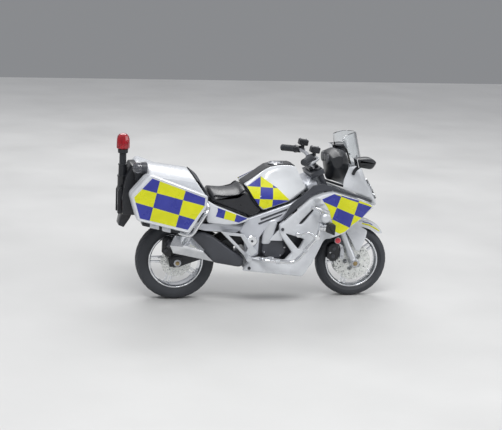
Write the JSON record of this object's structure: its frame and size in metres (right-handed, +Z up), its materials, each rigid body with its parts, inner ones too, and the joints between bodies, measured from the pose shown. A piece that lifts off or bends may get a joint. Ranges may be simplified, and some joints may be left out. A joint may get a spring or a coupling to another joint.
{
  "type": "police touring motorcycle model",
  "caption": "Small boxed-toy scale model of a faired police touring motorcycle with panniers, radio box, beacon mast, turning wheels, steering bars and a folding side stand.",
  "frame": {"origin": "on the ground plane, under the middle of the whole model's length and width", "axes": "+X points the way the motorcycle rides, +Y to the rider's left, +Z up"},
  "size_m": [0.1316, 0.0542, 0.0796],
  "materials": {
    "white_plastic": "gloss white moulded bodywork",
    "white_metal": "gloss white paint on die-cast metal",
    "silver_metal": "satin silver paint on die-cast metal",
    "black_plastic": "satin black moulding",
    "dark_plastic": "dark grey moulding",
    "seat_plastic": "soft-touch black, lightly grained",
    "tyre_rubber": "dark rubber with a fine tread",
    "chrome_plastic": "bright vacuum-metallised plastic",
    "silver_plastic": "satin silver paint on plastic",
    "steel": "bare steel",
    "silver_button": "satin silver push-button",
    "red_lens": "clear red moulding",
    "clear_plastic": "clear moulding",
    "circuit": "green circuit board with a small black speaker"
  },
  "bodies": {
    "chassis": {"main_frame": "silver_metal", "engine_block": "dark_plastic", "engine_cover_right": "silver_plastic", "engine_cover_left": "silver_plastic", "button_cell_1": "steel", "button_cell_2": "steel", "button_cell_3": "steel", "fuel_tank": "white_metal", "sound_unit": "circuit", "seat": "seat_plastic", "side_cover_right": "white_plastic", "side_cover_left": "white_plastic", "fairing_right": "white_plastic", "fairing_left": "white_plastic", "inner_panel_right": "dark_plastic", "inner_panel_left": "dark_plastic", "front_cowl": "white_plastic", "headlamp_lens": "clear_plastic", "instrument_panel": "black_plastic", "windscreen": "clear_plastic", "mirror_right": "black_plastic", "mirror_left": "black_plastic", "belly_pan": "white_plastic", "battery_cover": "dark_plastic", "pannier_right": "white_plastic", "pannier_left": "white_plastic", "pannier_guard_right": "chrome_plastic", "pannier_guard_left": "chrome_plastic", "radio_box": "white_plastic", "radio_box_trim": "black_plastic", "rear_fender": "black_plastic", "tail_unit": "black_plastic", "tail_lamp": "red_lens", "beacon_mast": "black_plastic", "beacon_lens": "red_lens", "exhaust_right": "chrome_plastic", "exhaust_left": "chrome_plastic", "footrest_bracket_right": "silver_plastic", "footrest_bracket_left": "silver_plastic", "crash_bar_right": "chrome_plastic", "crash_bar_left": "chrome_plastic", "siren_right": "chrome_plastic", "swingarm": "black_plastic", "rear_axle": "steel"},
    "fork": {"fork_leg_right": "silver_plastic", "fork_leg_left": "silver_plastic", "triple_clamp": "dark_plastic", "handlebar": "black_plastic", "front_fender": "white_plastic", "front_axle": "steel"},
    "front_wheel": {"front_tyre": "tyre_rubber", "front_rim": "chrome_plastic", "front_disc_right": "silver_plastic", "front_disc_left": "silver_plastic"},
    "rear_wheel": {"rear_tyre": "tyre_rubber", "rear_rim": "chrome_plastic", "rear_disc": "silver_plastic"},
    "stand": {"side_stand": "black_plastic"},
    "button": {"sound_button": "silver_button"}
  },
  "joints": [
    {"name": "steer", "type": "hinge", "parent": "chassis", "child": "fork", "pos_m": [0.04607, 0, 0.01626], "axis": [-0.3987, 0, 0.9171], "range_deg": [-20, 20]},
    {"name": "front_wheel_spin", "type": "hinge", "parent": "fork", "child": "front_wheel", "pos_m": [0.04845, 0, 0.0173], "axis": [0, 1, 0], "continuous": true},
    {"name": "rear_wheel_spin", "type": "hinge", "parent": "chassis", "child": "rear_wheel", "pos_m": [-0.03735, 0, 0.0185], "axis": [0, 1, 0], "continuous": true},
    {"name": "stand_fold", "type": "hinge", "parent": "chassis", "child": "stand", "pos_m": [-0.00635, 0.0186, 0.017], "axis": [0.028, -0.8947, -0.4458], "range_deg": [0, 98]},
    {"name": "button_press", "type": "slide", "parent": "chassis", "child": "button", "axis": [0, 0, -1], "range_m": [0, 0.0008], "stiffness_N_per_m": 400}
  ]
}
